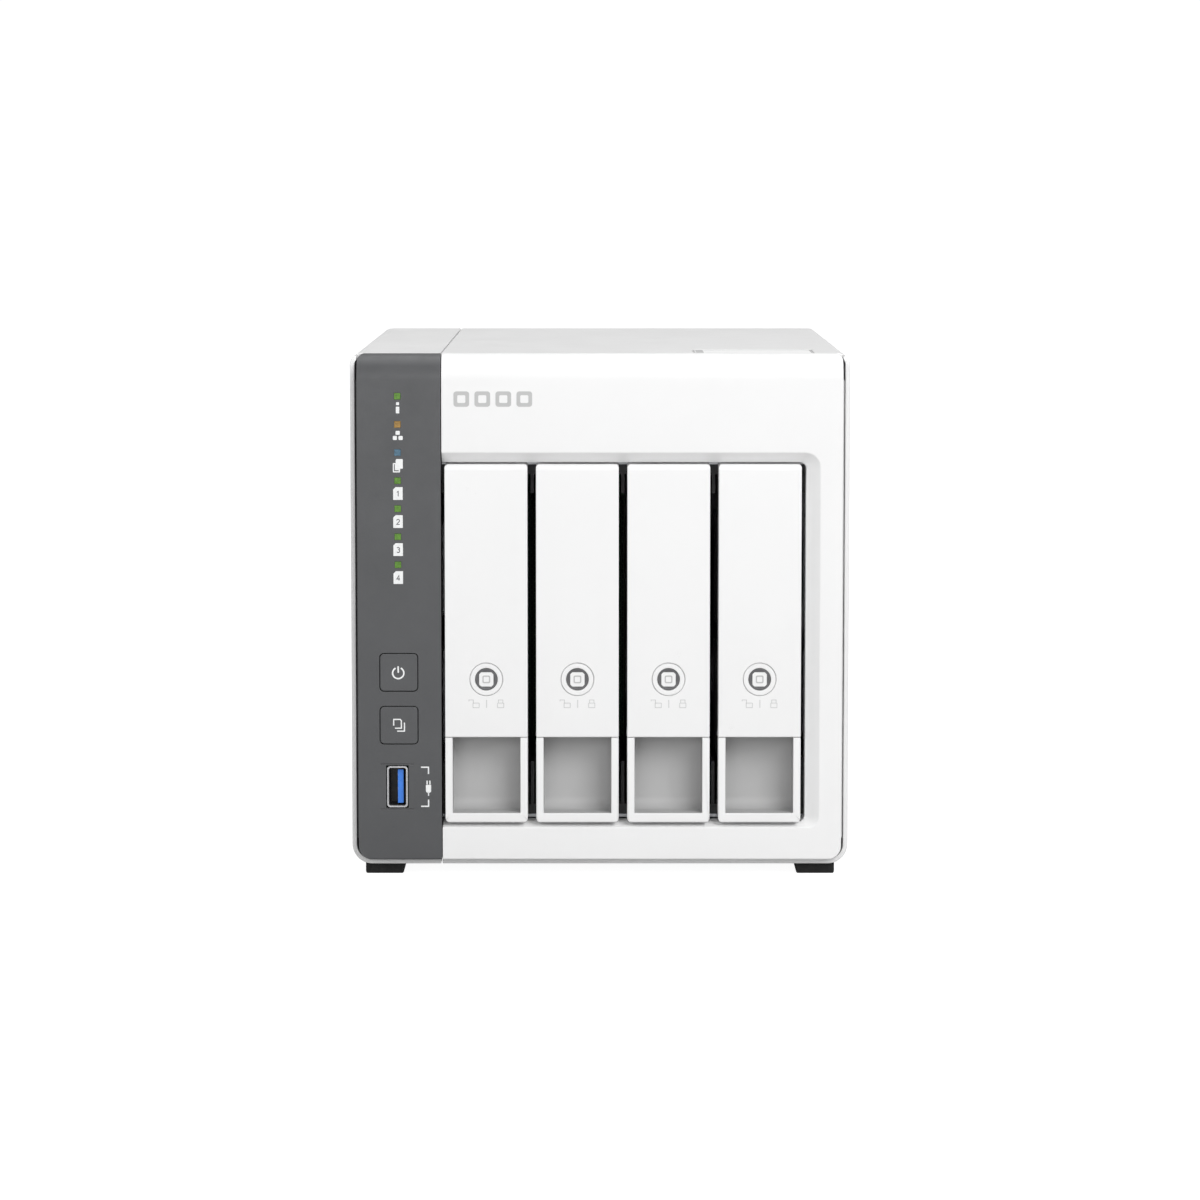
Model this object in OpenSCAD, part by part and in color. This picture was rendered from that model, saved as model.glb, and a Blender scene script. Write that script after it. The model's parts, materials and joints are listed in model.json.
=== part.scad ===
// Desktop network storage enclosure with four front drive trays.
// Frame: millimetres, +Z up, front faces -Y, origin at the middle of the base.

/* [Overall size] */
// Width over the steel cover
body_w = 160; // [150:1:180]
// Depth from the tray fronts to the rear screw heads
body_d = 219; // [205:1:240]
// Height from the table to the top
body_h = 168.5; // [160:0.5:190]
// Height of the rubber feet
foot_h = 3.8; // [2:0.1:8]
// Sheet thickness of the cover
sheet = 1.5; // [1:0.1:2]

/* [Front] */
// Width of the dark control strip
strip_w = 26.75; // [24:0.05:32]
// Radius where the front rolls into the top
roll_r = 8.2; // [4:0.1:10]
// Size of the square push buttons
key_w = 12; // [9:0.1:14]
// Push button travel
key_travel = 1; // [0.5:0.1:1.5]
// Distance between two indicator lights
led_pitch = 9; // [7:0.1:10]

/* [Drive trays] */
// Distance between two trays
tray_pitch = 29.25; // [29:0.05:32]
// Width of a tray front
tray_w = 26.5; // [26:0.1:28]
// Height of the bottom edge of the tray fronts
tray_z0 = 17.75; // [15:0.05:22]
// Height of the top edge of the tray fronts
tray_z1 = 133.3; // [128:0.1:140]
// Height where the lever ends and the finger recess begins
lever_z0 = 45.45; // [35:0.05:60]
// Depth of the finger recess
recess_depth = 10.7; // [8:0.1:11]
// Length of the tray body behind its front
tray_len = 149.3; // [147.5:0.1:155]
// Height of the lock centre
lock_z = 64.2; // [60:0.1:110]

/* [Fan] */
// Side of the square fan frame
fan_w = 120; // [80:1:120]
// Number of fan blades
blade_count = 7; // [5:1:11]

/* [Hidden] */
$fn = 96;
// hairline between pieces that are riveted or welded together
joint = 0.02;
yf = -body_d / 2;
yb = body_d / 2;
hw = body_w / 2;
skin_y = yf + 0.5;
case_z = foot_h;
in_x = hw - sheet;
in_z0 = case_z + sheet;
in_z1 = body_h - sheet;
side_y = yf + 4;
top_y = yf + 8.4;
shell_y1 = yb - 1.1;
fas_x = hw - 2.3;
fas_z0 = case_z + 1.8;
fas_y1 = yf + 11.5;
strip_x1 = -fas_x + strip_w;
bez_x0 = strip_x1 + 0.2;
seam_x = bez_x0 - 0.35;
bay_x1 = 66;
bay_z0 = 17.5;
bay_z1 = 133.7;
weld_zs = [bay_z0 + 2, bay_z1 - 2];
tray_mid = 7.375;
tray_xs = [for (i = [0:3]) tray_mid + (i - 1.5) * tray_pitch];
tw = tray_w / 2;
lever_y0 = yf + 0.05;
lever_y1 = yf + 5.7;
piv_y = yf + 3;
piv_z = tray_z1 - 6;
pin_r = 0.8;
plate_y = yf + 8.4;
tf_y1 = yf + 12.2;
tray_y0 = tf_y1 + 1.2 + joint;
tb_y1 = tf_y1 + tray_len;
drive_z0 = 24.6;
drive_z1 = 126.4;
rail_z = drive_z0 - 2.7;
led_x = -64.7;
led_z = 155.1;
key_x = -64.6;
keys_z = [66.4, 49.3];
usb_x = -65.2;
usb_z = 29.35;
rear_y0 = yb - 3.2;
rear_y1 = yb - 2;
fan_x = 12;
fan_z = 76;
fan_y0 = rear_y0 - 25.3;
port_x = -58.4;
board_x = -65.2;
jack_zs = [40, 60];
usb2_zs = [83, 102];
dc_z = 19.5;
reset_z = 117;
cover_zs = [30, 88, 150];
io_x1 = -50;

white = [0.95, 0.95, 0.95];
grey = [0.37, 0.38, 0.39];
dark = [0.13, 0.13, 0.14];
steel = [0.72, 0.73, 0.75];

// ---- helpers ----
// Rectangle with its own radius at each corner: lower left, lower right, upper right, upper left
module rr4(x0, y0, x1, y1, a, b, c, d) {
  polygon([[x0 + a, y0], [x1 - b, y0], [x1, y0 + b], [x1, y1 - c],
           [x1 - c, y1], [x0 + d, y1], [x0, y1 - d], [x0, y0 + a]]);
  if (a > 0) translate([x0 + a, y0 + a]) circle(a);
  if (b > 0) translate([x1 - b, y0 + b]) circle(b);
  if (c > 0) translate([x1 - c, y1 - c]) circle(c);
  if (d > 0) translate([x0 + d, y1 - d]) circle(d);
}
module ext_y(y0, y1) translate([0, y1, 0]) rotate([90, 0, 0]) linear_extrude(y1 - y0) children();
module ext_x(x0, x1) translate([x0, 0, 0]) rotate([90, 0, 90]) linear_extrude(x1 - x0) children();
module box(x0, x1, y0, y1, z0, z1) translate([x0, y0, z0]) cube([x1 - x0, y1 - y0, z1 - z0]);
module rod_y(x, z, r, y0, y1) translate([x, y1, z]) rotate([90, 0, 0]) cylinder(h = y1 - y0, r = r);
module rod_x(y, z, r, x0, x1) translate([x0, y, z]) rotate([0, 90, 0]) cylinder(h = x1 - x0, r = r);

// ---- cover ----
module shell_ring() difference() {
  rr4(-hw, case_z, hw, body_h, 6.4, 6.4, 3.5, 3.5);
  rr4(-in_x, in_z0, in_x, in_z1, 4.9, 4.9, 2, 2);
}
module shell_half(x0, x1) difference() {
  intersection() {
    ext_y(side_y, shell_y1) shell_ring();
    ext_x(x0, x1) rr4(side_y, case_z - 1, shell_y1, body_h, 0, 0, 0, 4.4);
  }
  box(-fas_x - 0.2, fas_x + 0.2, yf, top_y, 150, body_h + 1);
}
module main_shell() color(white) difference() {
  shell_half(seam_x + 0.2, hw + 1);
  box(30, 69, -98.5, -71, body_h - 0.6, body_h + 1);
  for (i = [0:13], s = [-1, 1]) let (y = -66 + i * 10, x = 8 + s * 24)
    box(x - 17, x + 17, y, y + 3, case_z - 1, in_z0 + 1);
}
module left_cover() color(white) {
  shell_half(-hw - 1, seam_x - 0.2);
  // joggled lips that tuck under the other half
  box(seam_x - 5, seam_x + 4.5, fas_y1 + 0.4, rear_y0 - 1, in_z1 - 1.1, in_z1 - 0.1);
  box(seam_x - 5, seam_x - 0.2, fas_y1 + 0.4, rear_y0 - 1, in_z1 - 1.1, in_z1 + 0.1);
  // rear flange that takes the cover screws
  difference() {
    box(-in_x - 0.1, -70.2, rear_y1 + 0.1, rear_y1 + 0.7, 14, 160);
    for (z = cover_zs) rod_y(-74.6, z, 1.6, rear_y1 - 1, yb);
  }
}
module top_label() color([0.97, 0.97, 0.97])
  box(30.4, 68.6, -98.1, -71.4, body_h - 0.6, body_h - 0.3);
module feet() color([0.05, 0.05, 0.05]) difference() {
  for (sx = [-1, 1], sy = [-1, 1]) scale([sx, 1, 1]) translate([0, sy * 92, 0]) ext_y(-9.5, 9.5)
    polygon([[63.9, 0], [75.6, 0], [75.9, 0.4], [75.9, case_z + 2], [62.9, case_z + 2], [63.6, 0.4]]);
  ext_y(side_y, shell_y1) rr4(-hw, case_z, hw, body_h, 6.4, 6.4, 3.5, 3.5);
}

// ---- front ----
module fascia(x0, x1, bl, br, tr, tl) difference() {
  intersection() {
    ext_y(skin_y, fas_y1) rr4(x0, fas_z0, x1, body_h, bl, br, tr, tl);
    ext_x(x0 - 1, x1 + 1) rr4(skin_y, fas_z0, fas_y1, body_h, 0.6, 0, 0, roll_r);
  }
  box(x0 - 1, x1 + 1, top_y - 0.15, fas_y1 + 1, in_z1 - 0.2, body_h + 1);
}
module bay_bevel() hull() {
  ext_y(skin_y - 0.3, skin_y - 0.05)
    rr4(bez_x0 - 2, bay_z0 - 1.4, 70.6, 137.1, 0, 3.4, 4.8, 0, $fn = 32);
  ext_y(skin_y + 3, skin_y + 3.2) rr4(bez_x0 - 2, bay_z0, bay_x1, bay_z1, 0, 2, 2, 0, $fn = 32);
}
module front_bezel() color(white) {
  difference() {
    fascia(bez_x0, fas_x, 0, 4.5, 2.4, 0);
    ext_y(skin_y - 1, fas_y1 + 1) rr4(bez_x0 - 2, bay_z0, bay_x1, bay_z1, 0, 2, 2, 0);
    bay_bevel();
    // the bars, corners and right column are welded to each other here
    for (z = [[0, weld_zs[0]], [weld_zs[1], body_h + 1]])
      box(bay_x1 - 2 - joint, bay_x1 - 2, yf, fas_y1 + 1, z[0], z[1]);
    for (z = weld_zs) box(bay_x1 - 2, hw, yf, fas_y1 + 1, z, z + joint);
    box(bez_x0 + 2.2, 75.4, skin_y + 2.4, fas_y1 + 1, 139.3, 164);
    box(71.8, 75.4, skin_y + 2.4, fas_y1 + 1, 20, 136);
    box(bez_x0 + 2.2, 73, skin_y + 2.4, fas_y1 + 1, 8, 15.3);
  }
  // side flange that fills the gap to the cover
  for (z = [[12, weld_zs[0]], [weld_zs[0] + joint, weld_zs[1]], [weld_zs[1] + joint, 160]])
    box(fas_x - 1, in_x - 0.2, side_y + 1.2, fas_y1, z[0], z[1]);
}
module control_panel() color(grey) {
  difference() {
    fascia(-fas_x, strip_x1, 4.5, 0.4, 0.4, 2.4);
    box(-fas_x + 2, strip_x1 - 2, skin_y + 2.2, fas_y1 + 1, 8, 163);
    for (i = [0:6]) let (z = led_z - i * led_pitch)
      box(led_x - 1.05, led_x + 1.05, yf, skin_y + 3, z - 1.05, z + 1.05);
    for (z = keys_z) ext_y(yf, skin_y + 3)
      rr4(key_x - key_w / 2 - 0.25, z - key_w / 2 - 0.25, key_x + key_w / 2 + 0.25,
          z + key_w / 2 + 0.25, 1.5, 1.5, 1.5, 1.5);
    box(usb_x - 3.6, usb_x + 3.6, yf, skin_y + 3, usb_z - 6.9, usb_z + 6.9);
    for (s = [-1, 1]) box(usb_x - 5.3, usb_x + 5.3, yf, skin_y + 0.25, usb_z + s * 7.3 - 0.2,
                          usb_z + s * 7.3 + 0.2);
  }
  box(-in_x + 0.2, -fas_x + 1, side_y + 1.2, fas_y1, 12, 160);
}
module lens(z) {
  box(led_x - 1, led_x + 1, skin_y - 0.04, skin_y + 2.4, z - 1, z + 1);
  box(led_x - 0.8, led_x + 0.8, skin_y + 2.3, fas_y1 - 0.6, z - 0.8, z + 0.8);
}
module lights_green() color([0.35, 0.65, 0.2]) for (i = [0, 3, 4, 5, 6]) lens(led_z - i * led_pitch);
module light_amber() color([0.75, 0.5, 0.15]) lens(led_z - led_pitch);
module light_blue() color([0.3, 0.55, 0.75]) lens(led_z - 2 * led_pitch);
module push_key(z) color(grey) {
  ext_y(skin_y - 0.02, skin_y + 2.5) rr4(key_x - key_w / 2, z - key_w / 2, key_x + key_w / 2,
                                         z + key_w / 2, 1.3, 1.3, 1.3, 1.3);
  box(key_x - 7, key_x + 7, skin_y + 2.45, skin_y + 3.4, z - 7, z + 7);
  box(key_x - 1.5, key_x + 1.5, skin_y + 3.3, skin_y + 5.6, z - 1.5, z + 1.5);
}
module power_button() push_key(keys_z[0]);
module copy_button() push_key(keys_z[1]);
module front_board() {
  color([0.05, 0.3, 0.15]) box(-75.2, -54, fas_y1 - 0.5, fas_y1 + 1.1, 16, 160);
  color(dark) for (z = keys_z) {
    box(key_x - 3, key_x + 3, fas_y1 - 3, fas_y1 - 0.5, z - 3, z + 3);
    rod_y(key_x, z, 1.7, fas_y1 - 3.9, fas_y1 - 3);
  }
}
module usb_ring(x, w, h, z, c) rr4(x - w / 2, z - h / 2, x + w / 2, z + h / 2, c, c, c, c);
module front_usb_shell() color(steel) {
  difference() {
    ext_y(skin_y + 0.05, fas_y1 - 0.55) usb_ring(usb_x, 6.6, 13.3, usb_z, 1);
    ext_y(skin_y - 1, fas_y1 - 1.3) usb_ring(usb_x, 5.6, 12.3, usb_z, 0.7);
  }
}
module front_usb_tongue() color([0.1, 0.4, 0.9])
  box(usb_x + 0.1, usb_x + 1.9, skin_y + 1.4, fas_y1 - 1.3, usb_z - 5.4, usb_z + 5.4);

// ---- drive trays ----
module tray_front(x) color(white) translate([x, 0, 0]) difference() {
  union() {
    intersection() {
      ext_y(yf, tf_y1) rr4(-tw, tray_z0, tw, lever_z0 - 0.15, 1.5, 1.5, 0.2, 0.2);
      ext_x(-tw - 1, tw + 1) rr4(yf, tray_z0, tf_y1, lever_z0 - 0.15, 0.6, 0, 0, 0.3);
    }
    box(-tw, tw, lever_y1 + 0.3, tf_y1, lever_z0 - 1, 60);
    ext_y(plate_y, tf_y1) rr4(-tw, 50, tw, tray_z1, 0, 0, 1, 1);
    // hinge ears
    for (s = [-1, 1]) scale([s, 1, 1]) ext_x(9.9, 11.7) {
      translate([piv_y, piv_z]) circle(1.5);
      polygon([[piv_y - 1.4, piv_z - 0.5], [piv_y + 1, piv_z + 1.1], [plate_y + 1, piv_z - 3.5],
               [plate_y + 1, piv_z - 10]]);
    }
  }
  ext_x(-tw + 2.4, tw - 2.4) rr4(yf - 9, tray_z0 + 3.15, yf + recess_depth, 58.5, 0, 4, 3, 0);
  box(-tw + 1.6, tw - 1.6, plate_y + 1.4, tf_y1 + 1, 62, tray_z1 - 1.6);
  for (s = [-1, 1]) scale([s, 1, 1]) rod_x(piv_y, piv_z, pin_r, 9, 12.5);
}
// bracket on the tray front that the turned lock cam hooks behind
module striker(x) color(white) translate([x, 0, 0]) {
  box(7, 8.4, yf + 3.2, plate_y - joint, 61.2, 66.6);
  box(3.4, 8.4, yf + 3.2, yf + 4.3, 61.2, 66.6);
}
module tray_body(x) color(dark) translate([x, 0, 0]) {
  difference() {
    box(-tw, -tw + 1, tray_y0, tb_y1, drive_z0 - 1.3, drive_z1 + 1.3);
    // air slots
    for (y = [-88, -68, -10, 10], z = [36, 79]) box(-tw - 1, -tw + 2, y, y + 14, z, z + 36);
    for (y = [-39.1, 37.5], z = [-30.86, 30.86]) rod_x(y, 75.5 + z, 1.75, -tw - 1, -tw + 2);
  }
  for (m = [0, 1]) translate([0, 0, m * (drive_z0 + drive_z1)]) scale([1, 1, m ? -1 : 1])
    difference() {
      box(-tw + 1 + joint, 0.8, tray_y0, tb_y1, drive_z0 - 1.3, drive_z0 - 0.3);
      for (y = [-54, 6]) box(-8, -4, y - 2, y + 2, drive_z0 - 2, drive_z0);
    }
  difference() {
    box(-tw, tw - 0.4, tf_y1, tf_y1 + 1.2, drive_z0 - 2.5, drive_z1 + 2.5);
    for (z = [30:12:112]) box(-8, 9, tf_y1 - 1, tf_y1 + 2, z, z + 6);
  }
}
module tray_strips(x) color([0.55, 0.56, 0.58]) translate([x, 0, 0]) for (m = [0, 1])
  translate([0, 0, m * (drive_z0 + drive_z1)]) scale([1, 1, m ? -1 : 1]) {
    box(-11.6, -0.4, -84, 30, drive_z0 - 2.5, drive_z0 - 1.35);
    for (y = [-54, 6]) box(-7.5, -4.5, y - 1.5, y + 1.5, drive_z0 - 1.5, drive_z0 - 0.05);
  }
module lever(x) color(white) translate([x, 0, 0]) difference() {
  union() {
    difference() {
      intersection() {
        ext_y(lever_y0, lever_y1) rr4(-tw, lever_z0, tw, tray_z1, 0.3, 0.3, 1.1, 1.1);
        ext_x(-tw - 1, tw + 1) rr4(lever_y0, lever_z0, lever_y1, tray_z1, 0.4, 0, 0, 2);
      }
      box(-tw + 1.2, tw - 1.2, yf + 1.2, lever_y1 + 1, lever_z0 + 1.3, tray_z1 - 1.2);
      box(-tw - 1, tw + 1, piv_y + 0.5, lever_y1 + 1, piv_z - 1, tray_z1 + 1);
    }
    for (s = [-1, 1]) scale([s, 1, 1]) ext_x(6, 9.6) {
      translate([piv_y, piv_z]) circle(1.7);
      rr4(yf + 1.1, piv_z - 1.7, piv_y, piv_z + 1.7, 0, 0, 0, 0);
    }
    rod_y(0, lock_z, 5.6, yf + 0.8, yf + 1.8);
  }
  for (s = [-1, 1]) scale([s, 1, 1]) rod_x(piv_y, piv_z, pin_r + 0.05, 5, 10);
  rod_y(0, lock_z, 3.6, yf - 1, yf + 3);
  difference() {
    rod_y(0, lock_z, 5.35, yf - 1, yf + 0.3);
    rod_y(0, lock_z, 5.2, yf - 2, yf + 1);
  }
}
module lever_pin(x) color(steel) rod_x(piv_y, piv_z, pin_r, x - 11.7, x + 11.7);
module lock_core(x) color([0.5, 0.5, 0.52]) {
  rod_y(x, lock_z, 3.5, yf + 0.25, yf + 2.2);
  rod_y(x, lock_z, 4.4, yf + 1.95, yf + 2.8);
  rod_y(x, lock_z, 2.2, yf + 2.7, yf + 4.8);
  box(x - 1.6, x + 1.6, yf + 4.6, yf + 5.8, lock_z - 1.6, lock_z + 6.4);
}
module lock_cap(x) color(white) difference() {
  ext_y(yf + 0.1, yf + 0.25) rr4(x - 2.3, lock_z - 2.3, x + 2.3, lock_z + 2.3, 0.9, 0.9, 0.9, 0.9);
  box(x - 1, x + 1, yf - 1, yf + 0.15, lock_z - 1, lock_z + 1);
}

// ---- inside ----
module drive_cage() color([0.5, 0.51, 0.53]) {
  // pressed side plates
  for (x = [-52.3, 66.9]) difference() {
    box(x, x + 1.1, fas_y1 + 1.4, 64, bay_z0 + 0.2, bay_z1 - 0.2);
    for (y = [-80, -50, -20, 10, 40], z = [40, 82]) box(x - 1, x + 2, y - 8, y + 8, z, z + 30);
  }
  // floor and roof
  for (z = [bay_z0 + 0.2, bay_z1 - 1.2]) box(-51.2 + joint, 66.9 - joint, fas_y1 + 1.4, 64, z, z + 1);
  // channel feet that carry the cage on the bottom sheet
  for (x = [-44, 54]) difference() {
    box(x, x + 8, -80, 50, in_z0 + 0.05, bay_z0 + 0.2 - joint);
    box(x - 1, x + 7, -81, 51, in_z0 + 1.1, bay_z0 - 0.8);
  }
}
module guide_rails() color([0.2, 0.2, 0.21]) for (m = [0, 1])
  translate([0, 0, m * (bay_z0 + bay_z1)]) scale([1, 1, m ? -1 : 1]) {
    box(-51.15, 66.85, fas_y1 + 1.5, 55, bay_z0 + 1.2 + joint, rail_z);
    // walls between the trays, taller at the front where they guide the tray in
    for (i = [0:4]) let (x = i == 0 ? -50.6 : i == 4 ? 65.9 : tray_xs[i] - tray_pitch / 2) {
      box(x - 0.5, x + 0.5, fas_y1 + 1.5, 55, rail_z + joint, drive_z0 - 0.5);
      box(x - 0.5, x + 0.5, fas_y1 + 1.5, fas_y1 + 12, rail_z + joint, m ? 28 : 36);
    }
    for (x = tray_xs) box(x + 1.4, x + 2.4, fas_y1 + 4, 55, rail_z + joint, drive_z0 - 0.5);
  }
module backplane() color([0.05, 0.3, 0.15]) difference() {
  box(-50.5, 66, 64.3, 65.9, bay_z0 + 2, bay_z1 - 2);
  for (i = [0:3]) box(tray_xs[i] - 1.5, tray_xs[i] + 5.5, 64, 67, 38, 114);
}
module drive_sockets() color(dark) for (x = tray_xs) difference() {
  box(x - 9.6, x - 3.2, 56.5, 64.3, 54, 98);
  box(x - 7.9, x - 4.9, 55, 61, 56, 72);
  box(x - 7.9, x - 4.9, 55, 61, 74, 96);
}
module main_board() color([0.05, 0.3, 0.15])
  box(board_x - 1.6, board_x, -60, rear_y0 - 1, 9, 142);
module board_parts() {
  color(dark) {
    box(board_x - 3.2, board_x - 1.6, 0, 26, 66, 92);
    for (z = [64, 80]) box(board_x - 2.9, board_x - 1.6, 34, 46, z, z + 11);
    box(board_x, board_x + 5, -52, -44, 30, 60);
    box(board_x - 5, board_x - 1.6, -50, -34, 110, 132);
  }
  color(steel) for (p = [[60, 20], [72, 20], [84, 24], [70, 124], [82, 124]])
    rod_x(p[0], p[1], 4, board_x - 10, board_x - 1.6);
  color(dark) box(board_x, board_x + 7, rear_y0 - 9, rear_y0 - 5, reset_z - 3, reset_z + 3);
}
module heatsink() color([0.7, 0.7, 0.72]) {
  box(board_x - 5.2, board_x - 3.2, -7, 33, 59, 99);
  for (i = [0:8]) box(board_x - 11.4, board_x - 5.1, -7 + i * 4.8, -5.4 + i * 4.8, 59, 99);
}

// ---- rear ----
module port_plate() color([0.85, 0.85, 0.86]) difference() {
  ext_y(rear_y0, rear_y1) rr4(-in_x + 0.2, in_z0 + 0.2, io_x1, in_z1 - 0.2, 4.9, 0, 0, 2);
  for (z = cover_zs) rod_y(-74.6, z, 1.6, rear_y0 - 1, yb);
  for (z = jack_zs) box(port_x - 7, port_x + 7, rear_y0 - 1, yb, z - 8.3, z + 8.3);
  for (z = usb2_zs) box(board_x - 0.1, board_x + 7, rear_y0 - 1, yb, z - 7, z + 7);
  box(board_x - 0.1, board_x + 11.3, rear_y0 - 1, yb, dc_z - 5.7, dc_z + 5.7);
  rod_y(-61, reset_z, 1.2, rear_y0 - 1, yb);
  box(-62.5, -59.5, rear_y0 - 1, yb, 128, 135);
}
module rear_panel() color([0.85, 0.85, 0.86]) difference() {
  ext_y(rear_y0, rear_y1) rr4(io_x1 + 0.1, in_z0 + 0.2, in_x - 0.2, in_z1 - 0.2, 0, 4.9, 2, 0);
  rod_y(fan_x, fan_z, fan_w / 2 - 3, rear_y0 - 1, yb);
  for (sx = [-1, 1], sz = [-1, 1])
    rod_y(fan_x + sx * 52.5, fan_z + sz * 52.5, 1.9, rear_y0 - 1, yb);
  for (i = [0:11]) box(-40 + i * 9, -34 + i * 9, rear_y0 - 1, yb, 144, 158);
}
module fan_frame() color(dark) {
  difference() {
    ext_y(fan_y0, rear_y0 - 0.2) rr4(fan_x - fan_w / 2, fan_z - fan_w / 2, fan_x + fan_w / 2,
                                     fan_z + fan_w / 2, 4, 4, 4, 4);
    rod_y(fan_x, fan_z, fan_w / 2 - 2.5, fan_y0 - 1, yb);
    for (sx = [-1, 1], sz = [-1, 1])
      rod_y(fan_x + sx * 52.5, fan_z + sz * 52.5, 2.15, fan_y0 - 1, yb);
  }
  difference() {
    rod_y(fan_x, fan_z, 20, rear_y0 - 4.2, rear_y0 - 0.4);
    rod_y(fan_x, fan_z, 2.05, rear_y0 - 5, rear_y0 - 1.4);
  }
  for (a = [45:90:315]) translate([fan_x, 0, fan_z]) rotate([0, a, 0])
    box(18, fan_w / 2 - 2, rear_y0 - 3.4, rear_y0 - 0.4, -1.6, 1.6);
}
module fan_rotor() color([0.2, 0.2, 0.21]) {
  rod_y(fan_x, fan_z, 20, fan_y0 + 1.5, rear_y0 - 4.8);
  rod_y(fan_x, fan_z, 2, rear_y0 - 5, rear_y0 - 1.6);
  intersection() {
    rod_y(fan_x, fan_z, fan_w / 2 - 3.6, fan_y0 + 1.2, rear_y0 - 5);
    for (i = [0:blade_count - 1]) translate([fan_x, (fan_y0 + rear_y0) / 2 - 2, fan_z])
      rotate([0, i * 360 / blade_count, 0]) rotate([52, 0, 0])
        translate([17, -0.9, -14]) cube([60, 1.8, 28]);
  }
}
module fan_guard() color(steel) {
  for (r = [14:9.5:55]) translate([fan_x, rear_y1 + 1.3, fan_z]) rotate([90, 0, 0])
    rotate_extrude() translate([r, 0]) square([1.4, 1]);
  for (a = [45, 135]) translate([fan_x, 0, fan_z]) rotate([0, a, 0])
    box(-57.5, 57.5, rear_y1 + 0.05, rear_y1 + 0.5, -1, 1);
  rod_y(fan_x, fan_z, 6, rear_y1 + 0.05, rear_y1 + 1.2);
  for (a = [45:90:315]) translate([fan_x, 0, fan_z]) rotate([0, a, 0]) difference() {
    rod_y(74.25, 0, 4.4, rear_y1 + 0.05, rear_y1 + 0.5);
    rod_y(74.25, 0, 1.9, rear_y1 - 1, rear_y1 + 2);
  }
  for (a = [45:90:315]) translate([fan_x, 0, fan_z]) rotate([0, a, 0])
    box(52, 70.5, rear_y1 + 0.05, rear_y1 + 0.5, -1, 1);
}
module screw(x, z, head, r, y0, y1) difference() {
  union() {
    rod_y(x, z, head, y1 - 1.2, y1);
    rod_y(x, z, r, y0, y1 - 1);
  }
  for (a = [0, 90]) translate([x, 0, z]) rotate([0, a, 0]) box(-1.6, 1.6, y1 - 0.7, y1 + 1, -0.35, 0.35);
}
module screws() color(steel) {
  for (z = cover_zs) screw(-74.6, z, 2.9, 1.4, rear_y0 - 3, yb);
  for (sx = [-1, 1], sz = [-1, 1])
    screw(fan_x + sx * 52.5, fan_z + sz * 52.5, 3.4, 1.7, rear_y0 - 6, rear_y1 + 1.75);
}
module lan_jacks() color(steel) for (z = jack_zs) difference() {
  box(port_x - 6.7, port_x + 6.7, 86, rear_y1 + 0.4, z - 8, z + 8);
  box(port_x - 4.6, port_x + 3.6, 92, yb, z - 5.9, z + 5.9);
  box(port_x + 3.5, port_x + 5.4, 92, yb, z - 3, z + 3);
}
module rear_usb() color(steel) for (z = usb2_zs) {
  difference() {
    ext_y(90, rear_y1 + 0.4) usb_ring(board_x + 3.45, 6.6, 13.3, z, 1);
    ext_y(92, yb) usb_ring(board_x + 3.45, 5.6, 12.3, z, 0.7);
  }
  box(board_x + 3.6, board_x + 5.4, 91, rear_y1 - 1, z - 5.4, z + 5.4);
}
module dc_jack() color(dark) {
  difference() {
    box(board_x + 0.1, board_x + 11, 90, rear_y1 + 0.4, dc_z - 5.4, dc_z + 5.4);
    rod_y(board_x + 5.5, dc_z, 3.1, 96, yb);
  }
  rod_y(board_x + 5.5, dc_z, 1.1, 95, rear_y1 - 0.6);
}
module reset_button() color(dark) {
  rod_y(-61, reset_z, 1.6, rear_y0 - 4.3, rear_y0 - 0.8);
  rod_y(-61, reset_z, 2.2, rear_y0 - 4.3, rear_y0 - 3.5);
}

main_shell();
left_cover();
front_bezel();
control_panel();
lights_green();
light_amber();
light_blue();
power_button();
copy_button();
front_board();
front_usb_shell();
front_usb_tongue();
drive_cage();
guide_rails();
backplane();
drive_sockets();
main_board();
board_parts();
heatsink();
port_plate();
rear_panel();
fan_frame();
fan_rotor();
fan_guard();
screws();
lan_jacks();
rear_usb();
dc_jack();
reset_button();
feet();
top_label();
for (i = [0:3]) {
  union() {
    tray_front(tray_xs[i]);
    striker(tray_xs[i]);
  }
  tray_body(tray_xs[i]);
  tray_strips(tray_xs[i]);
  lever(tray_xs[i]);
  lever_pin(tray_xs[i]);
  lock_core(tray_xs[i]);
  lock_cap(tray_xs[i]);
}
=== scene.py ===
"""Looks of a desktop network storage box with four drive trays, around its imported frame."""
import json
import math

import bmesh
import bpy
from mathutils import Matrix, Vector

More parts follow.
